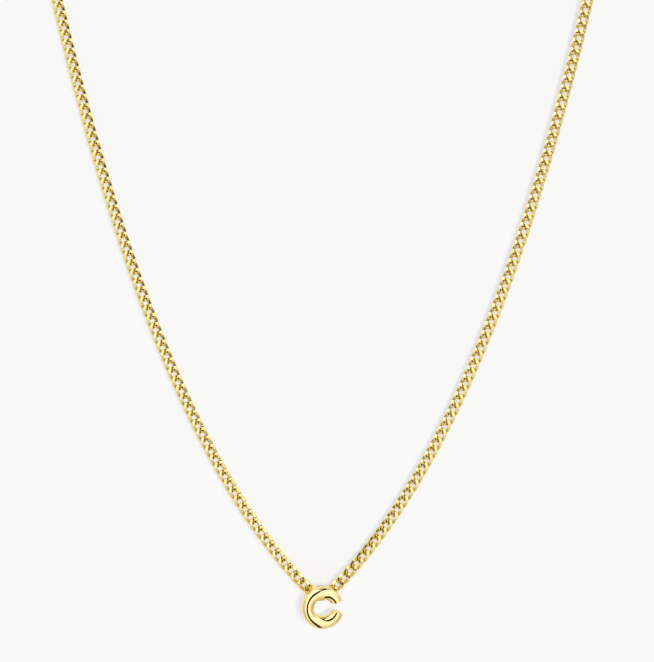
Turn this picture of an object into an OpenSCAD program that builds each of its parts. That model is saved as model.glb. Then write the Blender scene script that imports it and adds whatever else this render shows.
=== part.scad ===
// A small pillowed initial on a fine curb chain, closed at the nape by a spring ring clasp.
// Millimetres, +Z up, front towards -Y. The origin is the middle of the loop's back, at the nape.

/* [Initial] */
// Outer diameter of the round letter
letter_d = 6.1; // [5:0.05:12]
// Width of the letter's bar seen from the front
bar_w = 1.75; // [1.1:0.05:2]
// Depth of the letter's bar from front to back
bar_t = 2.3; // [1.2:0.05:3]
// Radius of the bar's front edges
front_round = 0.5; // [0.1:0.05:0.5]
// Radius of the bar's back edges
back_round = 0.2; // [0.05:0.05:0.4]
// Angle between the two ends of the bar, which open to the right like a wedge
gap_angle = 64; // [40:1:90]
// Distance of that wedge's point from the letter's centre
gap_point = 1.1; // [0.8:0.05:1.2]

/* [Ring bail] */
// Bore that the chain runs through
bail_bore = 1.9; // [1.8:0.05:2.4]
// Wall of the bail
bail_wall = 0.15; // [0.1:0.05:0.5]
// Length of the bail along its bore
bail_len = 0.95; // [0.6:0.05:1.05]
// Height of the bail's centre above the letter's centre
bail_lift = 1.7; // [1.7:0.05:4]
// Depth by which the bail is soldered into the letter's back
solder = 0.1; // [0.08:0.01:0.14]

/* [How the letter hangs] */
// Turn of the letter's face towards the right
letter_yaw = 6; // [0:0.5:14]
// Nod of the letter's face towards the ground
letter_pitch = 2; // [0:0.5:15]
// Roll of the letter, right side up
letter_roll = 2.5; // [0:0.5:10]
// Drop of the bail's middle below the chain's middle, as it hangs on the chain
bail_play = 0.02; // [0:0.01:0.05]

/* [Chain] */
// Width of the curb chain
chain_w = 1.5; // [1:0.05:1.55]
// Thickness of the curb chain
chain_t = 1.1; // [0.6:0.05:1.15]
// Gap between the chain's end and the jump ring
chain_gap = 0.2; // [0.1:0.05:0.5]

/* [Front of the loop] */
// Radius of the bend that the chain takes through the bail
bend_r = 3; // [3:0.05:6]
// Slope at which the two strands leave that bend
bend_angle = 45.7; // [35:0.1:55]
// Horizontal pull of the hanging strands, as the catenary's own length
sag_length = 28.9; // [24:0.1:40]
// Drift of the loop's lowest point to the left
sway = 0.25; // [0:0.05:1]
// Half of the strands' spread where they turn back over the shoulders
spread_half = 38.55; // [30:0.05:45]

/* [Back of the loop] */
// Distance of the two strands in front of the nape
neck_depth = 84; // [70:1:110]
// Drop from the nape to the place where the strands turn down
neck_drop = 34; // [20:1:60]
// Reach of the curve that carries on up from the strands
front_reach = 24; // [15:1:40]
// Reach of the curve that leads out from the nape
back_reach = 68; // [40:1:80]

/* [Clasp] */
// Outer diameter of the spring ring
clasp_d = 5.5; // [5:0.1:8]
// Thickness of the spring ring's tube
clasp_wire = 1.1; // [0.8:0.05:1.2]
// Outer diameter of the fixed eye
eye_d = 2; // [1.9:0.05:3]
// Wire of the fixed eye
eye_wire = 0.5; // [0.3:0.05:0.55]
// Length of the trigger that stands out of the spring ring
trigger_len = 0.9; // [0.5:0.1:1.5]
// Diameter of the trigger
trigger_d = 0.6; // [0.4:0.05:0.8]
// Place of the trigger round the spring ring, from its eye
trigger_angle = 135; // [45:5:160]

/* [Jump rings] */
// Outer diameter of each jump ring
ring_d = 3; // [2.8:0.1:4]
// Wire of each jump ring
ring_wire = 0.5; // [0.3:0.05:0.55]
// Clearance between a jump ring and the wire that it holds
ring_gap = 0.1; // [0.05:0.01:0.2]

/* [Hidden] */
gold = [0.96, 0.80, 0.45];
chain_sides = 8;
bend_steps = 4;
strand_steps = 15;
neck_steps = 20;
letter_facets = 96;
ring_facets = 64;
edge_facets = 32;

bail_r = bail_bore / 2 + bail_wall;
letter_back = bail_r - solder;
letter_mid_r = (letter_d - bar_w) / 2;
clasp_mid_r = (clasp_d - clasp_wire) / 2;
eye_mid_r = (eye_d - eye_wire) / 2;
ring_mid_r = (ring_d - ring_wire) / 2;

// Along the nape the clasp's ring, eye and two jump rings sit on one line, held under a light pull
eye_x = clasp_mid_r + clasp_wire / 2 + eye_mid_r + eye_wire / 2 - solder;
right_hook_x = eye_x + eye_mid_r;
left_hook_x = -clasp_mid_r;
right_ring_x = right_hook_x - eye_wire / 2 - ring_wire / 2 - ring_gap + ring_mid_r;
left_ring_x = left_hook_x + clasp_wire / 2 + ring_wire / 2 + ring_gap - ring_mid_r;
right_end = right_ring_x + ring_d / 2 + chain_gap;
left_end = left_ring_x - ring_d / 2 - chain_gap;
end_x = (right_end - left_end) / 2;
clasp_x = end_x - right_end;

// The strands hang as a catenary above the bend in the bail
function sinh(u) = (exp(u) - exp(-u)) / 2;
function cosh(u) = (exp(u) + exp(-u)) / 2;
function asinh(s) = ln(s + sqrt(s * s + 1));
bend_x = bend_r * sin(bend_angle);
bend_z = bend_r * (1 - cos(bend_angle));
u_low = asinh(tan(bend_angle));
u_high = u_low + (spread_half - bend_x) / sag_length;
strand_rise = sag_length * (cosh(u_high) - cosh(u_low));
lowest_z = -neck_drop - strand_rise - bend_z;

function bend_point(f) =
    [bend_r * sin(f * bend_angle), -neck_depth, lowest_z + bend_r * (1 - cos(f * bend_angle))];
function strand_u(f) = asinh(sinh(u_low) + f * (sinh(u_high) - sinh(u_low)));
function strand_point(f) = [
    bend_x + sag_length * (strand_u(f) - u_low),
    -neck_depth,
    lowest_z + bend_z + sag_length * (cosh(strand_u(f)) - cosh(u_low))
];

// From the strands' top one smooth curve runs round the neck to the clasp
top_slope = [1, 0, sinh(u_high)] / cosh(u_high);
neck_from = [spread_half, -neck_depth, -neck_drop];
neck_to = [end_x, 0, 0];
function neck_point(f) =
    pow(1 - f, 3) * neck_from
    + 3 * pow(1 - f, 2) * f * (neck_from + front_reach * top_slope)
    + 3 * (1 - f) * f * f * (neck_to + [back_reach, 0, 0])
    + pow(f, 3) * neck_to;

route = concat(
    [for (i = [0 : bend_steps - 1]) bend_point(i / bend_steps)],
    [for (i = [0 : strand_steps - 1]) strand_point(i / strand_steps)],
    [for (i = [0 : neck_steps]) neck_point(i / neck_steps)]
);
first_neck = bend_steps + strand_steps;
last = len(route) - 1;

// The flat of the chain faces out from the body: forwards in front, backwards at the nape
function face_turn(i) = -90 + 180 * max(0, i - first_neck) / neck_steps;
function unit(v) = v / norm(v);
function ahead(i) = i == 0 ? [1, 0, 0]
    : i == last ? [-1, 0, 0]
    : unit(route[i + 1] - route[i - 1]);
function across(i) = unit(cross(ahead(i), [cos(face_turn(i)), sin(face_turn(i)), 0]));
function outward(i) = cross(across(i), ahead(i));
function drift(i) = sway * pow(max(0, (-neck_drop - route[i].z) / (-neck_drop - lowest_z)), 2);
function chain_rim(i, k, side) = route[i]
    - [side * drift(i), 0, 0]
    + chain_w / 2 * cos(360 * k / chain_sides) * across(i)
    + chain_t / 2 * sin(360 * k / chain_sides) * outward(i);

// Half of the chain as one flat-oval tube from the bail to the nape; the left half is then mirrored
module half_chain(side) {
    points = [for (i = [0 : last], k = [0 : chain_sides - 1]) chain_rim(i, k, side)];
    walls = [for (i = [0 : last - 1], k = [0 : chain_sides - 1])
        let (n = (k + 1) % chain_sides)
        [i * chain_sides + k, i * chain_sides + n, (i + 1) * chain_sides + n, (i + 1) * chain_sides + k]];
    near_end = [[for (k = [chain_sides - 1 : -1 : 0]) k]];
    far_end = [[for (k = [0 : chain_sides - 1]) last * chain_sides + k]];
    polyhedron(points, concat(walls, near_end, far_end), convexity = 6);
}

// Section of the letter's bar: depth along Y, generous front rounds, small back rounds
module bar_section() {
    translate([-bar_w / 2, back_round])
        square([bar_w, bar_t - back_round - front_round]);
    translate([-bar_w / 2 + back_round, 0])
        square([bar_w - 2 * back_round, bar_t - front_round]);
    translate([-bar_w / 2 + front_round, back_round])
        square([bar_w - 2 * front_round, bar_t - back_round]);
    for (side = [-1, 1]) {
        translate([side * (bar_w / 2 - front_round), bar_t - front_round])
            circle(r = front_round, $fn = edge_facets);
        translate([side * (bar_w / 2 - back_round), back_round])
            circle(r = back_round, $fn = edge_facets);
    }
}

// The wedge that the opening takes out of the letter's ring
module opening() {
    reach = letter_d;
    translate([gap_point, 0, -bar_t / 2])
        linear_extrude(height = 2 * bar_t)
            polygon([[0, 0], [reach, -reach * tan(gap_angle / 2)], [reach, reach * tan(gap_angle / 2)]]);
}

// The round letter, standing with its face towards -Y and its opening to the right
module letter() {
    rotate([90, 0, 0])
        difference() {
            rotate_extrude($fn = letter_facets)
                translate([letter_mid_r, 0])
                    bar_section();
            opening();
        }
}

// A plain ring of round wire, lying flat
module wire_ring(outer_d, wire) {
    rotate_extrude($fn = ring_facets)
        translate([(outer_d - wire) / 2, 0])
            circle(d = wire, $fn = edge_facets);
}

// Short tube along X, the bore of which carries the chain
module bail() {
    rotate([0, 90, 0])
        rotate_extrude($fn = ring_facets)
            translate([bail_bore / 2, -bail_len / 2])
                square([bail_wall, bail_len]);
}

module initial() {
    color(gold)
        translate([-sway, -neck_depth, lowest_z - bail_play])
            rotate([0, 0, letter_yaw])
                rotate([letter_pitch, 0, 0])
                    rotate([0, -letter_roll, 0])
                        union() {
                            bail();
                            translate([0, -letter_back, -bail_lift])
                                letter();
                        }
}

module chain_right() {
    color(gold)
        half_chain(1);
}

module chain_left() {
    color(gold)
        mirror([1, 0, 0])
            half_chain(-1);
}

module clasp() {
    color(gold)
        translate([clasp_x, 0, 0])
            rotate([90, 0, 0])
                union() {
                    wire_ring(clasp_d, clasp_wire);
                    translate([eye_x, 0, 0])
                        wire_ring(eye_d, eye_wire);
                    rotate([0, 0, trigger_angle])
                        translate([clasp_mid_r, 0, 0])
                            rotate([0, 90, 0])
                                cylinder(d = trigger_d, h = clasp_wire / 2 + trigger_len, $fn = edge_facets);
                }
}

module ring_right() {
    color(gold)
        translate([clasp_x + right_ring_x, 0, 0])
            wire_ring(ring_d, ring_wire);
}

module ring_left() {
    color(gold)
        translate([clasp_x + left_ring_x, 0, 0])
            wire_ring(ring_d, ring_wire);
}

initial();
chain_right();
chain_left();
clasp();
ring_right();
ring_left();
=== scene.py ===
import math

import bmesh
import bpy
from mathutils import Matrix, Vector


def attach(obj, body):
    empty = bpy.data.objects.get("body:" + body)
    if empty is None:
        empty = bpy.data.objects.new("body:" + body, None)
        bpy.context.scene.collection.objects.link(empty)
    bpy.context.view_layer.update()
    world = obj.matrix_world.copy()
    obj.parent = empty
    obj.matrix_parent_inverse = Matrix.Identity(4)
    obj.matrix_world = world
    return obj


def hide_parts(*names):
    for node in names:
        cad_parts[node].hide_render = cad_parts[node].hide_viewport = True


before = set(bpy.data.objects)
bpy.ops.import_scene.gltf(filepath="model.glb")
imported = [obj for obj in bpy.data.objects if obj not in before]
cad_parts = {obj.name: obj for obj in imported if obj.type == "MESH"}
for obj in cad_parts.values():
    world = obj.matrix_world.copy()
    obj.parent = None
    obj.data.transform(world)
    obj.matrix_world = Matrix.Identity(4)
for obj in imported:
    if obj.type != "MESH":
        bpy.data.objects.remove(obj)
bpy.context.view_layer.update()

# Camera
# A long lens looks level at the pendant from the front, as for a catalogue picture. It is so close that
# the frame cuts both strands, and the back of the loop with its clasp stays above the picture.
MM = 0.001
neck_depth = 84 * MM
picture_height = 96.0 * MM
camera_x, camera_z = 0.65 * MM, -82.3 * MM
lens, sensor = 100, 36
camera_away = picture_height * lens / sensor
camera_data = bpy.data.cameras.new("camera")
camera_data.lens = lens
camera_data.sensor_width = sensor
camera_data.clip_start, camera_data.clip_end = 0.01, 5
camera = bpy.data.objects.new("camera", camera_data)
camera.location = (camera_x, -neck_depth - camera_away, camera_z)
camera.rotation_euler = (math.radians(90), 0, 0)
bpy.context.scene.collection.objects.link(camera)
bpy.context.scene.camera = camera

# Curb chain
# Fine 14 carat chain of twisted oval links, each closed round its neighbour, soldered, and pressed so that
# its wire has flats. It runs through the bail behind the letter, up both sides of the neck and back to the
# clasp at the nape.
link_pitch_count = 158
link_wire = 0.45 * MM
link_side = 0.55 * MM
link_width = 1.7 * MM
link_slack = 0.035 * MM
link_twist = 0.32 * MM
link_squareness = 2.4
joining_wire = 0.28 * MM
joining_half_width = 0.7 * MM
joining_slack = 0.12 * MM
joining_squareness = 3
first_link_tilt = math.radians(8)
face_lean = math.radians(-12)
lean_links = 6
link_steps, wire_sides = 14, 6
six_sided = 1.02
flat_turn = math.radians(-5)

bend_r = 3 * MM
bend_angle = math.radians(45.7)
sag_length = 28.9 * MM
spread_half = 38.55 * MM
sway = 0.25 * MM
neck_drop = 34 * MM
front_reach = 24 * MM
back_reach = 68 * MM
end_x = 5.2 * MM
bend_stops, strand_stops, back_stops = 60, 300, 400


def chain_route(side):
    """Points of one half of the loop from the bail to the nape, on the right, each with its face's turn."""
    bend_x = bend_r * math.sin(bend_angle)
    bend_z = bend_r * (1 - math.cos(bend_angle))
    low = math.asinh(math.tan(bend_angle))
    high = low + (spread_half - bend_x) / sag_length
    rise = sag_length * (math.cosh(high) - math.cosh(low))
    lowest = -neck_drop - rise - bend_z
    stops = []
    for i in range(bend_stops):
        angle = bend_angle * i / bend_stops
        x, z = bend_r * math.sin(angle), lowest + bend_r * (1 - math.cos(angle))
        stops.append((Vector((x, -neck_depth, z)), 0))
    for i in range(strand_stops):
        out = low + (high - low) * i / strand_stops
        x = bend_x + sag_length * (out - low)
        z = lowest + bend_z + sag_length * (math.cosh(out) - math.cosh(low))
        stops.append((Vector((x, -neck_depth, z)), 0))
    slope = Vector((1, 0, math.sinh(high))) / math.cosh(high)
    start = Vector((spread_half, -neck_depth, -neck_drop))
    end = Vector((end_x, 0, 0))
    over = start + front_reach * slope
    back = end + Vector((back_reach, 0, 0))
    for i in range(back_stops + 1):
        turn = i / back_stops
        left = 1 - turn
        point = (left ** 3 * start + 3 * left ** 2 * turn * over
                 + 3 * left * turn * turn * back + turn ** 3 * end)
        stops.append((point, turn))
    # The foot of the loop hangs a little to the left of the middle.
    for point, _ in stops:
        point.x -= side * sway * max(0, (neck_drop + point.z) / (neck_drop + lowest)) ** 2
    return stops


def link_places(side):
    """For each link from the bail to the nape, its middle and its axes: ahead, across and outward."""
    stops = chain_route(side)
    lengths = [0.0]
    for (here, _), (there, _) in zip(stops, stops[1:]):
        lengths.append(lengths[-1] + (there - here).length)
    pitch = lengths[-1] / link_pitch_count
    places, i = [], 0
    for k in range(link_pitch_count + 1):
        reach = min(k * pitch, lengths[-1])
        while i < len(stops) - 2 and lengths[i + 1] < reach:
            i += 1
        share = (reach - lengths[i]) / (lengths[i + 1] - lengths[i])
        middle = stops[i][0].lerp(stops[i + 1][0], share)
        turn = stops[i][1] + share * (stops[i + 1][1] - stops[i][1])
        before, after = stops[max(i - 1, 0)][0], stops[min(i + 2, len(stops) - 1)][0]
        ahead = Vector((1, 0, 0)) if k == 0 else (after - before).normalized()
        if k == 1:
            ahead.rotate(Matrix.Rotation(-first_link_tilt, 3, "Y"))
        # The links face forward on the strands, and turn with the neck to face backward at the nape.
        lean = face_lean * min(1, k / lean_links) * (1 - turn)
        face = math.radians(-90 + 180 * turn) + lean
        across = ahead.cross(Vector((math.cos(face), math.sin(face), 0))).normalized()
        places.append((middle, ahead, across, across.cross(ahead)))
    return pitch, places


def wire_link(wire, side, half_length, half_width, squareness, twist):
    """One link along X with its face towards Z: a ring of six-sided wire, drawn out, twisted and pressed."""
    def wire_middle(angle):
        """Where the middle of the wire runs at that angle round the link."""
        ahead, aside = math.cos(angle), math.sin(angle)
        reach = (abs(ahead) ** squareness + abs(aside) ** squareness) ** (-1 / squareness)
        sunk = twist * math.sin(2 * angle)
        return Vector((half_length * ahead * reach, half_width * aside * reach, -sunk))

    nudge, same_angle = 0.01, 0.999
    mesh = bmesh.new()
    bmesh.ops.create_circle(mesh, cap_ends=False, segments=wire_sides, radius=wire / 2 * six_sided)
    flats = Matrix.Rotation(math.pi / wire_sides + flat_turn, 3, "Z")
    bmesh.ops.rotate(mesh, cent=(0, 0, 0), matrix=flats, verts=mesh.verts)
    turned = Matrix.Translation((half_width, 0, 0)) @ Matrix.Rotation(math.radians(90), 4, "X")
    bmesh.ops.transform(mesh, matrix=turned, verts=mesh.verts)
    bmesh.ops.spin(mesh, geom=mesh.edges[:], cent=(0, 0, 0), axis=(0, 0, 1), angle=math.tau,
                   steps=link_steps, use_merge=True)
    bmesh.ops.recalc_face_normals(mesh, faces=mesh.faces)
    # Edges that run along the wire stay sharp, where its flats meet.
    for edge in mesh.edges:
        one, other = edge.verts[0].co.xy.normalized(), edge.verts[1].co.xy.normalized()
        edge.smooth = one.dot(other) > same_angle
    for vert in mesh.verts:
        angle = math.atan2(vert.co.y, vert.co.x)
        pressed = 1 + (side / wire - 1) * math.sin(angle) ** 2
        out, up = (vert.co.xy.length - half_width) * pressed, vert.co.z
        along = (wire_middle(angle + nudge) - wire_middle(angle - nudge)).normalized()
        outward = along.cross(Vector((0, 0, 1))).normalized()
        vert.co = wire_middle(angle) + out * outward + up * outward.cross(along)
    return mesh


def link_mesh(*shape):
    """The mesh of one link, to be laid many times."""
    link = wire_link(*shape)
    data = bpy.data.meshes.new("link")
    link.to_mesh(data)
    link.free()
    return data


def lay_links(name, side, first):
    """One half of the chain as joined links along the route. The left half is the right's mirror image."""
    pitch, places = link_places(side)
    half_length = (pitch + link_wire) / 2 + link_slack
    half_width = (link_width - link_side) / 2
    joining_half_length = half_length - (link_wire - joining_wire) / 2 + joining_slack
    curb = link_mesh(link_wire, link_side, half_length, half_width, link_squareness, link_twist)
    joining = link_mesh(joining_wire, joining_wire, joining_half_length, joining_half_width,
                        joining_squareness, 0)
    joined = bmesh.new()
    for k in range(first, link_pitch_count + 1):
        middle, ahead, across, outward = places[k]
        # The joining link in the bail stands a quarter turn from the others.
        if k == 0:
            across, outward = outward, across * -1
        place = Matrix((ahead, across * -1, outward)).transposed().to_4x4()
        place.translation = middle
        start = len(joined.verts)
        joined.from_mesh(curb if k else joining)
        joined.verts.ensure_lookup_table()
        bmesh.ops.transform(joined, matrix=place, verts=joined.verts[start:])
    if side < 0:
        bmesh.ops.scale(joined, vec=(-1, 1, 1), verts=joined.verts)
        bmesh.ops.reverse_faces(joined, faces=joined.faces)
    for face in joined.faces:
        face.smooth = True
    data = bpy.data.meshes.new(name)
    joined.to_mesh(data)
    joined.free()
    piece = bpy.data.objects.new(name, data)
    bpy.context.scene.collection.objects.link(piece)
    return piece


# Places of a Mix node's two colour sockets, and of its colour result.
mix_a, mix_b, mix_result = 6, 7, 2


def polish_group():
    """Shader group of what polishing leaves, hairlines and faint waves, with painted shade that darkens the
    colour in recesses.
    """
    group = bpy.data.node_groups.new("polish", "ShaderNodeTree")
    for name, kind, default in (
        ("Line Scale", "Float", 4000.0),
        ("Wave Scale", "Float", 900.0),
        ("Roughness", "Float", 0.1),
        ("Spread", "Float", 0.05),
        ("Recess Reach", "Float", 0.4 * MM),
        ("Recess Shade Amount", "Float", 0.5),
        ("Tone Low", "Color", (0.8, 0.6, 0.3, 1)),
        ("Tone High", "Color", (0.9, 0.7, 0.4, 1)),
        ("Recess Shade Tone", "Color", (0.4, 0.3, 0.1, 1)),
    ):
        socket = group.interface.new_socket(name, in_out="INPUT", socket_type="NodeSocket" + kind)
        socket.default_value = default
    for name, kind in (("Color", "Color"), ("Roughness", "Float"), ("Height", "Float")):
        group.interface.new_socket(name, in_out="OUTPUT", socket_type="NodeSocket" + kind)
    stroke_turn, stroke_stretch = (0.3, 0.5, 0.4), (1, 0.12, 1)
    open_share, closed_share = 0.9, 0.38
    line_height = 0.15
    nodes, links = group.nodes, group.links
    given, put = nodes.new("NodeGroupInput"), nodes.new("NodeGroupOutput")
    place = nodes.new("ShaderNodeTexCoord")
    stretch = nodes.new("ShaderNodeMapping")
    stretch.inputs["Rotation"].default_value = stroke_turn
    stretch.inputs["Scale"].default_value = stroke_stretch
    lines, waves = nodes.new("ShaderNodeTexNoise"), nodes.new("ShaderNodeTexNoise")
    lines.inputs["Detail"].default_value = 3
    waves.inputs["Detail"].default_value = 1
    links.new(place.outputs["Object"], stretch.inputs["Vector"])
    links.new(stretch.outputs["Vector"], lines.inputs["Vector"])
    links.new(place.outputs["Object"], waves.inputs["Vector"])
    links.new(given.outputs["Line Scale"], lines.inputs["Scale"])
    links.new(given.outputs["Wave Scale"], waves.inputs["Scale"])
    tone = nodes.new("ShaderNodeMix")
    tone.data_type = "RGBA"
    links.new(waves.outputs["Fac"], tone.inputs["Factor"])
    links.new(given.outputs["Tone Low"], tone.inputs[mix_a])
    links.new(given.outputs["Tone High"], tone.inputs[mix_b])
    # Painted shade: where ambient occlusion finds a recess, the colour is mixed towards the recess shade
    # tone.
    hollow = nodes.new("ShaderNodeAmbientOcclusion")
    hollow.samples = 8
    links.new(given.outputs["Recess Reach"], hollow.inputs["Distance"])
    recess_shade_mask = nodes.new("ShaderNodeMapRange")
    recess_shade_mask.interpolation_type = "SMOOTHSTEP"
    recess_shade_mask.inputs["From Min"].default_value = open_share
    recess_shade_mask.inputs["From Max"].default_value = closed_share
    recess_shade_mask.inputs["To Min"].default_value = 0
    links.new(hollow.outputs["AO"], recess_shade_mask.inputs["Value"])
    links.new(given.outputs["Recess Shade Amount"], recess_shade_mask.inputs["To Max"])
    tone_with_shade = nodes.new("ShaderNodeMix")
    tone_with_shade.data_type = "RGBA"
    links.new(recess_shade_mask.outputs["Result"], tone_with_shade.inputs["Factor"])
    links.new(tone.outputs[mix_result], tone_with_shade.inputs[mix_a])
    links.new(given.outputs["Recess Shade Tone"], tone_with_shade.inputs[mix_b])
    rough = nodes.new("ShaderNodeMath")
    rough.operation = "MULTIPLY_ADD"
    links.new(lines.outputs["Fac"], rough.inputs[0])
    links.new(given.outputs["Spread"], rough.inputs[1])
    links.new(given.outputs["Roughness"], rough.inputs[2])
    height = nodes.new("ShaderNodeMath")
    height.operation = "MULTIPLY_ADD"
    height.inputs[1].default_value = line_height
    links.new(lines.outputs["Fac"], height.inputs[0])
    links.new(waves.outputs["Fac"], height.inputs[2])
    links.new(tone_with_shade.outputs[mix_result], put.inputs["Color"])
    links.new(rough.outputs["Value"], put.inputs["Roughness"])
    links.new(height.outputs["Value"], put.inputs["Height"])
    return group


polish = polish_group()
warm_rim = (1, 0.88, 0.62, 1)


def gold(name, low, high, recess_shade, recess_shade_amount, roughness, spread, line_scale, wave_scale, relief):
    """Yellow gold with the polish group's tones, painted shade in its recesses and roughness, and its relief
    in metres.
    """
    material = bpy.data.materials.new(name)
    material.use_nodes = True
    nodes, links = material.node_tree.nodes, material.node_tree.links
    metal = nodes["Principled BSDF"]
    metal.inputs["Metallic"].default_value = 1
    metal.inputs["Specular Tint"].default_value = warm_rim
    finish = nodes.new("ShaderNodeGroup")
    finish.node_tree = polish
    finish.inputs["Line Scale"].default_value = line_scale
    finish.inputs["Wave Scale"].default_value = wave_scale
    finish.inputs["Roughness"].default_value = roughness
    finish.inputs["Spread"].default_value = spread
    finish.inputs["Tone Low"].default_value = (*low, 1)
    finish.inputs["Tone High"].default_value = (*high, 1)
    # Painted shade in recesses: its tone, and how far it darkens the colour.
    finish.inputs["Recess Shade Tone"].default_value = (*recess_shade, 1)
    finish.inputs["Recess Shade Amount"].default_value = recess_shade_amount
    bump = nodes.new("ShaderNodeBump")
    bump.inputs["Distance"].default_value = relief
    links.new(finish.outputs["Color"], metal.inputs["Base Color"])
    links.new(finish.outputs["Roughness"], metal.inputs["Roughness"])
    links.new(finish.outputs["Height"], bump.inputs["Height"])
    links.new(bump.outputs["Normal"], metal.inputs["Normal"])
    return material


# The recess tone is painted shade where the links cross and hollow out.
chain_gold = gold("chain_gold", low=(0.865, 0.70, 0.295), high=(0.90, 0.75, 0.35), recess_shade=(0.50, 0.34, 0.09),
                  recess_shade_amount=0.5, roughness=0.12, spread=0.06, line_scale=9000, wave_scale=1500,
                  relief=0.4e-6)
for name, side, first, node in (
    ("curb_links_right", 1, 0, "chain_right"),
    ("curb_links_left", -1, 1, "chain_left"),
):
    half = lay_links(name, side, first)
    half.data.materials.append(chain_gold)
    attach(half, "chain")
    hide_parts(node)

# Letter with its ring bail
# Cast solid in 14 carat yellow gold, with a pillowed face and a high polish. A short ring of tube is
# soldered to the back of its upper arm, and the chain runs through it.
letter_d = 6.1 * MM
bar_w = 1.75 * MM
bar_t = 2.3 * MM
gap_angle = math.radians(64)
gap_point = 1.1 * MM
crown_start = 1.57 * MM
crown_power = 2.3
back_power = 7.0
end_blend = math.radians(60)
end_edge = 0.1 * MM
section_points, letter_steps = 28, 48
letter_mid_r = (letter_d - bar_w) / 2

bail_bore = 1.9 * MM
bail_wall = 0.15 * MM
bail_len = 0.95 * MM
bail_edge = 0.09 * MM
bail_lift = 1.7 * MM
bail_z = -120.309 * MM
bail_steps = 48
solder = 0.1 * MM
letter_back = bail_bore / 2 + bail_wall - solder
hang_turn, hang_nod, hang_roll = math.radians(6), math.radians(2), math.radians(-2.5)
hang = (Matrix.Translation((-sway, -neck_depth, bail_z))
        @ Matrix.Rotation(hang_turn, 4, "Z")
        @ Matrix.Rotation(hang_nod, 4, "X")
        @ Matrix.Rotation(hang_roll, 4, "Y"))


def new_piece(name, mesh, material):
    """The object of a finished mesh, smooth and in its material."""
    for face in mesh.faces:
        face.smooth = True
    data = bpy.data.meshes.new(name)
    mesh.to_mesh(data)
    mesh.free()
    data.materials.append(material)
    piece = bpy.data.objects.new(name, data)
    bpy.context.scene.collection.objects.link(piece)
    return piece


def letter_mesh():
    """The letter in XY with its face up: a round section spun from end to end, its ends set to the wedge."""
    def end_angle(reach):
        """Angle at which the wedge cuts the bar, at that distance from the letter's middle."""
        return gap_angle / 2 - math.asin(gap_point * math.sin(gap_angle / 2) / reach)

    mesh = bmesh.new()
    bmesh.ops.create_circle(mesh, cap_ends=False, segments=section_points, radius=1)
    for vert in mesh.verts:
        across, up = vert.co.x, vert.co.y
        power = crown_power if up > 0 else back_power
        size = (abs(across) ** power + abs(up) ** power) ** (1 / power)
        across, up = across / size, up / size
        depth = crown_start + up * ((bar_t - crown_start) if up > 0 else crown_start)
        vert.co = Vector((letter_mid_r + across * bar_w / 2, 0, depth))
    first = end_angle(letter_mid_r)
    bmesh.ops.rotate(mesh, cent=(0, 0, 0), matrix=Matrix.Rotation(first, 3, "Z"), verts=mesh.verts)
    ring = mesh.edges[:]
    spun = bmesh.ops.spin(mesh, geom=ring, cent=(0, 0, 0), axis=(0, 0, 1), angle=math.tau - 2 * first,
                          steps=letter_steps, use_merge=False)
    for vert in mesh.verts:
        reach = vert.co.xy.length
        angle = math.atan2(vert.co.y, vert.co.x)
        near = max(0, 1 - (abs(angle) - first) / end_blend)
        angle += math.copysign((end_angle(reach) - first) * near * near, angle)
        vert.co.x, vert.co.y = reach * math.cos(angle), reach * math.sin(angle)
    last = [edge for edge in spun["geom_last"] if isinstance(edge, bmesh.types.BMEdge)]
    for rim in (ring, last):
        bmesh.ops.contextual_create(mesh, geom=rim)
    bmesh.ops.bevel(mesh, geom=ring + last, offset=end_edge, offset_type="OFFSET", affect="EDGES",
                    segments=2, profile=0.5, material=-1)
    caps = [face for face in mesh.faces if len(face.verts) > 4]
    bmesh.ops.inset_individual(mesh, faces=caps, thickness=end_edge, use_even_offset=True)
    bmesh.ops.recalc_face_normals(mesh, faces=mesh.faces)
    return mesh


letter_shape = letter_mesh()
upright = Matrix.Translation((0, -letter_back, -bail_lift)) @ Matrix.Rotation(math.radians(90), 4, "X")
bmesh.ops.transform(letter_shape, matrix=hang @ upright, verts=letter_shape.verts)
# The recess tone is painted shade in the letter's hollows.
polished_gold = gold("polished_gold", low=(0.945, 0.76, 0.37), high=(0.99, 0.82, 0.41),
                     recess_shade=(0.62, 0.40, 0.13), recess_shade_amount=0.7, roughness=0.035, spread=0.03,
                     line_scale=2500, wave_scale=500, relief=0.3e-6)
letter = new_piece("letter", letter_shape, polished_gold)
smoothing = letter.modifiers.new("smooth", "SUBSURF")
smoothing.levels = smoothing.render_levels = 2
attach(letter, "pendant")
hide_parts("initial")


def tube_ring(bore, wall, length, edge, steps):
    """A short length of tube round X, with its edges eased."""
    mesh = bmesh.new()
    bmesh.ops.create_grid(mesh, x_segments=1, y_segments=1, size=0.5)
    bmesh.ops.transform(mesh, matrix=Matrix.Diagonal((length, wall, 1, 1)), verts=mesh.verts)
    bmesh.ops.translate(mesh, vec=(0, bore / 2 + wall / 2, 0), verts=mesh.verts)
    rim = mesh.edges[:]
    bmesh.ops.delete(mesh, geom=mesh.faces[:], context="FACES_ONLY")
    bmesh.ops.spin(mesh, geom=rim, cent=(0, 0, 0), axis=(1, 0, 0), angle=math.tau, steps=steps,
                   use_merge=True)
    bmesh.ops.recalc_face_normals(mesh, faces=mesh.faces)
    corner = math.radians(60)
    corners = [each for each in mesh.edges if each.calc_face_angle(0) > corner]
    bmesh.ops.bevel(mesh, geom=corners, offset=edge, offset_type="OFFSET", affect="EDGES", segments=3,
                    profile=0.5, material=-1)
    return mesh


bail_shape = tube_ring(bail_bore, bail_wall, bail_len, bail_edge, bail_steps)
bmesh.ops.transform(bail_shape, matrix=hang, verts=bail_shape.verts)
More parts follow.
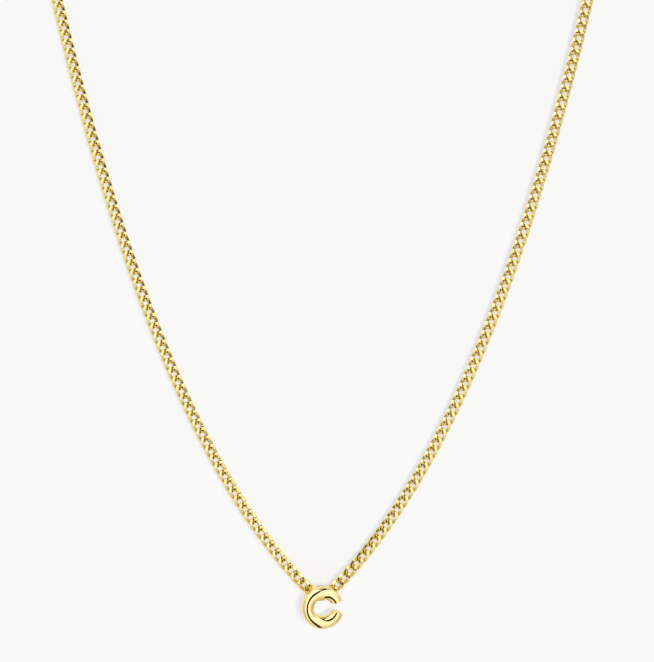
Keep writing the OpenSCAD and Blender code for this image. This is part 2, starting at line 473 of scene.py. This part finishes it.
# The bail's gold is painted darker than the letter's, as painted shade behind the letter, with painted shade
# in its recesses as well.
bail_gold_painted_shade = gold("bail_gold_painted_shade", low=(0.50, 0.32, 0.10), high=(0.60, 0.39, 0.13), recess_shade=(0.34, 0.20, 0.04),
                 recess_shade_amount=0.9, roughness=0.16, spread=0.10, line_scale=6000, wave_scale=900,
                 relief=0.6e-6)
bail = new_piece("ring_bail", bail_shape, bail_gold_painted_shade)
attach(bail, "pendant")
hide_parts("initial")

# Spring ring clasp
# A hollow ring of gold tube at the nape. A spring inside pushes a thin tongue across the gap at its top,
# and a small trigger draws it back. The eye for the jump ring is soldered on.
clasp_d = 5.5 * MM
clasp_wire = 1.1 * MM
clasp_edge = 0.08 * MM
eye_d = 2 * MM
eye_wire = 0.5 * MM
clasp_x, eye_x = -1.24 * MM, 2.39 * MM
tongue_wire = 0.76 * MM
tongue_edge = 0.05 * MM
tongue_from, tongue_to = math.radians(62), math.radians(112)
tongue_hold = 0.1
trigger_angle = math.radians(135)
trigger_sides = 20


def bent_wire(bow_d, wire, start, end, steps, sides, edge):
    """A bow of round wire in the XZ plane between two angles, with eased ends, or a whole ring."""
    mesh = bmesh.new()
    whole = math.isclose(end - start, math.tau)
    bmesh.ops.create_circle(mesh, cap_ends=False, segments=sides, radius=wire / 2)
    bmesh.ops.translate(mesh, vec=((bow_d - wire) / 2, 0, 0), verts=mesh.verts)
    bmesh.ops.rotate(mesh, cent=(0, 0, 0), matrix=Matrix.Rotation(-start, 3, "Y"), verts=mesh.verts)
    rim = mesh.edges[:]
    spun = bmesh.ops.spin(mesh, geom=rim, cent=(0, 0, 0), axis=(0, -1, 0), angle=end - start,
                          steps=steps, use_merge=whole)
    if not whole:
        last = [each for each in spun["geom_last"] if isinstance(each, bmesh.types.BMEdge)]
        for end_rim in (rim, last):
            bmesh.ops.contextual_create(mesh, geom=end_rim)
        bmesh.ops.bevel(mesh, geom=rim + last, offset=edge, offset_type="OFFSET", affect="EDGES",
                        segments=2, profile=0.5, material=-1)
    bmesh.ops.recalc_face_normals(mesh, faces=mesh.faces)
    return mesh


def turned_post(outline, sides):
    """A small turned post along X, from its outline of distances along and away from its middle, in mm."""
    mesh = bmesh.new()
    rim = [mesh.verts.new((along * MM, away * MM, 0)) for along, away in outline]
    for low, high in zip(rim, rim[1:]):
        mesh.edges.new((low, high))
    bmesh.ops.spin(mesh, geom=mesh.edges[:], cent=(0, 0, 0), axis=(1, 0, 0), angle=math.tau, steps=sides,
                   use_merge=True)
    bmesh.ops.remove_doubles(mesh, verts=mesh.verts, dist=0.001 * MM)
    bmesh.ops.recalc_face_normals(mesh, faces=mesh.faces)
    return mesh


# The recess tone is painted shade in the hollows of the clasp and rings.
clasp_gold = gold("clasp_gold", low=(0.92, 0.745, 0.36), high=(0.97, 0.80, 0.41), recess_shade=(0.5, 0.34, 0.1),
                  recess_shade_amount=0.8, roughness=0.07, spread=0.06, line_scale=5000, wave_scale=900,
                  relief=0.4e-6)
trigger_foot, trigger_head = ((2.4, 0), (2.4, 0.17)), ((3.2, 0.17), (3.24, 0.26), (3.32, 0.3))
trigger_tip = ((3.52, 0.3), (3.62, 0.22), (3.65, 0))
trigger_shape = turned_post(trigger_foot + trigger_head + trigger_tip, trigger_sides)
bmesh.ops.rotate(trigger_shape, cent=(0, 0, 0), matrix=Matrix.Rotation(-trigger_angle, 3, "Y"),
                 verts=trigger_shape.verts)
for name, part_x, part_shape in (
    ("spring_ring_tube", clasp_x,
     bent_wire(clasp_d, clasp_wire, tongue_to, tongue_from + math.tau, steps=72, sides=24, edge=clasp_edge)),
    ("spring_ring_tongue", clasp_x,
     bent_wire(clasp_d - clasp_wire + tongue_wire, tongue_wire, tongue_from - tongue_hold,
               tongue_to + tongue_hold, steps=16, sides=20, edge=tongue_edge)),
    ("spring_ring_eye", eye_x, bent_wire(eye_d, eye_wire, 0, math.tau, steps=36, sides=16, edge=0)),
    ("spring_ring_trigger", clasp_x, trigger_shape),
):
    bmesh.ops.translate(part_shape, vec=(part_x, 0, 0), verts=part_shape.verts)
    part = new_piece(name, part_shape, clasp_gold)
    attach(part, "chain")
    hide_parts("clasp")

# Jump rings
# One ring of round gold wire on each side of the clasp, through the last link of the chain. Each is
# closed edge to edge, and its fine cut shows at the side.
ring_d = 3 * MM
ring_wire = 0.5 * MM
ring_edge = 0.03 * MM
ring_x = 3.79 * MM
cut = math.radians(1.2)
cut_place = math.radians(70)
for name, node, x in (
    ("jump_ring_right", "ring_right", ring_x),
    ("jump_ring_left", "ring_left", -ring_x),
):
    ring_shape = bent_wire(ring_d, ring_wire, cut, math.tau - cut, steps=48, sides=16, edge=ring_edge)
    flat = Matrix.Translation((x, 0, 0)) @ Matrix.Rotation(math.radians(90), 4, "X")
    turned = flat @ Matrix.Rotation(cut_place, 4, "Y")
    bmesh.ops.transform(ring_shape, matrix=turned, verts=ring_shape.verts)
    ring = new_piece(name, ring_shape, clasp_gold)
    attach(ring, "chain")
    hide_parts(node)

# Floor, white board and light
# The necklace hangs just in front of a lit white board that stands on a pale floor. Bright panels stand
# left and right of the camera with a dark gap between them, under a dark ceiling and over a dim floor.
# They fade towards the board's plane. A lamp from the right gives the soft shadow on the board.
board_glow, backdrop_light, fill_light = 0.612, 0.947, 0.40
paper = bpy.data.materials.new("white_paper")
paper.use_nodes = True
paper_nodes, paper_links = paper.node_tree.nodes, paper.node_tree.links
paper_face = paper_nodes["Principled BSDF"]
paper_face.inputs["Base Color"].default_value = (0.3, 0.3, 0.3, 1)
paper_face.inputs["Emission Color"].default_value = (1, 1, 1, 1)
paper_face.inputs["Emission Strength"].default_value = board_glow
paper_face.inputs["Roughness"].default_value = 1
paper_face.inputs["Specular IOR Level"].default_value = 0
clear = paper_nodes.new("ShaderNodeBsdfTransparent")
side_seen = paper_nodes.new("ShaderNodeNewGeometry")
one_sided = paper_nodes.new("ShaderNodeMixShader")
paper_links.new(side_seen.outputs["Backfacing"], one_sided.inputs["Fac"])
paper_links.new(paper_face.outputs["BSDF"], one_sided.inputs[1])
paper_links.new(clear.outputs["BSDF"], one_sided.inputs[2])
paper_links.new(one_sided.outputs["Shader"], paper_nodes["Material Output"].inputs["Surface"])

floor_z = -165 * MM
floor_half, floor_front, floor_back = 0.6, -0.9, 0.6
board_y = -81.7 * MM
board_half, board_top = 60 * MM, -31 * MM
for name, corners in (
    ("floor", ((-floor_half, floor_front, floor_z), (floor_half, floor_front, floor_z),
               (floor_half, floor_back, floor_z), (-floor_half, floor_back, floor_z))),
    ("board", ((-board_half, board_y, floor_z), (board_half, board_y, floor_z),
               (board_half, board_y, board_top), (-board_half, board_y, board_top))),
):
    stage_shape = bmesh.new()
    stage_shape.faces.new([stage_shape.verts.new(corner) for corner in corners])
    stage_piece = new_piece(name, stage_shape, paper)
    stage_piece.visible_glossy = name != "floor"

world = bpy.data.worlds.new("studio")
bpy.context.scene.world = world
world.use_nodes = True
room_nodes, room_links = world.node_tree.nodes, world.node_tree.links
surround = room_nodes["Background"]
way = room_nodes.new("ShaderNodeTexCoord")


def math_node(operation, first, second=None):
    """The result of a sum on numbers or on other nodes' results."""
    node = room_nodes.new("ShaderNodeMath")
    node.operation = operation
    for socket, value in zip(node.inputs, (first, second)):
        if isinstance(value, (int, float)):
            socket.default_value = value
        elif value is not None:
            room_links.new(value, socket)
    return node.outputs["Value"]


def across_way(azimuth):
    """How far a direction lies to the right of the upright plane at that azimuth, from -1 to 1."""
    turn = math.radians(azimuth)
    dot = room_nodes.new("ShaderNodeVectorMath")
    dot.operation = "DOT_PRODUCT"
    dot.inputs[1].default_value = (math.cos(turn), math.sin(turn), 0)
    room_links.new(way.outputs["Generated"], dot.inputs[0])
    return dot.outputs["Value"]


def ramp(value, start, end, low, high):
    """An eased step from low to high while the value goes from start to end."""
    node = room_nodes.new("ShaderNodeMapRange")
    node.interpolation_type = "SMOOTHSTEP"
    for socket, number in zip(node.inputs[1:5], (start, end, low, high)):
        socket.default_value = number
    room_links.new(value, node.inputs["Value"])
    return node.outputs["Result"]


def mixed_value(factor, usual, instead):
    """The usual value, and where the factor is one a number instead."""
    node = room_nodes.new("ShaderNodeMix")
    room_links.new(factor, node.inputs["Factor"])
    room_links.new(usual, node.inputs["A"])
    node.inputs["B"].default_value = instead
    return node.outputs["Result"]


split = room_nodes.new("ShaderNodeSeparateXYZ")
room_links.new(way.outputs["Generated"], split.inputs["Vector"])
right, behind, up = split.outputs["X"], split.outputs["Y"], split.outputs["Z"]
slit_azimuth = -3.5
gap_colour = (0.035, 0.018, 0.003, 1)
# The dark gap narrows away from eye level, leans to the right as it rises, and lies in front only.
narrowed = ramp(math_node("ABSOLUTE", up), start=0.25, end=0.85, low=0, high=0.06)
shift = ramp(up, start=0.35, end=0.86, low=0, high=0.24)
off_middle = math_node("ABSOLUTE", math_node("SUBTRACT", across_way(slit_azimuth), shift))
slit = ramp(math_node("ADD", off_middle, narrowed), start=0.16, end=0.193, low=1, high=0)
in_front = ramp(behind, start=-0.1, end=0.1, low=1, high=0)
dark = math_node("MULTIPLY", slit, in_front)
# The panels are brightest beside the gap and fade towards the board's plane on both sides.
left_panel = ramp(right, start=-0.98, end=-0.3, low=0.6, high=1.3)
right_panel = ramp(right, start=0.2, end=0.98, low=1.3, high=0.55)
panels = math_node("MINIMUM", left_panel, right_panel)
# The ceiling is dark on its right side, and less so on its left.
right_half = ramp(right, start=-0.26, end=-0.06, low=0.25, high=0.9)
overhead = ramp(up, start=0.79, end=0.86, low=0, high=1)
ceiling = math_node("SUBTRACT", 1, math_node("MULTIPLY", overhead, right_half))
# The floor is dim, and the panels grow brighter towards their tops.
low_floor = ramp(up, start=-0.97, end=0.15, low=0.6, high=1.12)
high_panel = ramp(up, start=0.1, end=0.75, low=1, high=1.5)
closed = math_node("MULTIPLY", math_node("MULTIPLY", ceiling, low_floor), high_panel)
bright = math_node("MULTIPLY", panels, closed)

seen = room_nodes.new("ShaderNodeLightPath")
room = room_nodes.new("ShaderNodeMix")
room.data_type = "RGBA"
room_links.new(math_node("MULTIPLY", dark, seen.outputs["Is Glossy Ray"]), room.inputs["Factor"])
room.inputs[mix_a].default_value = (1, 1, 1, 1)
room.inputs[mix_b].default_value = gap_colour
room_links.new(room.outputs[mix_result], surround.inputs["Color"])
shown = mixed_value(seen.outputs["Is Camera Ray"], bright, backdrop_light)
lit = mixed_value(seen.outputs["Is Diffuse Ray"], shown, fill_light)
room_links.new(lit, surround.inputs["Strength"])

key_data = bpy.data.lights.new("key", "SUN")
key_data.angle = math.radians(9)
key_data.energy = 1.75
key = bpy.data.objects.new("key", key_data)
key.location = (0.2, -0.9, 0.1)
key.rotation_euler = (math.radians(86.5), 0, math.radians(9.5))
bpy.context.scene.collection.objects.link(key)
key.visible_glossy = False

bpy.context.scene.view_settings.view_transform = "Standard"
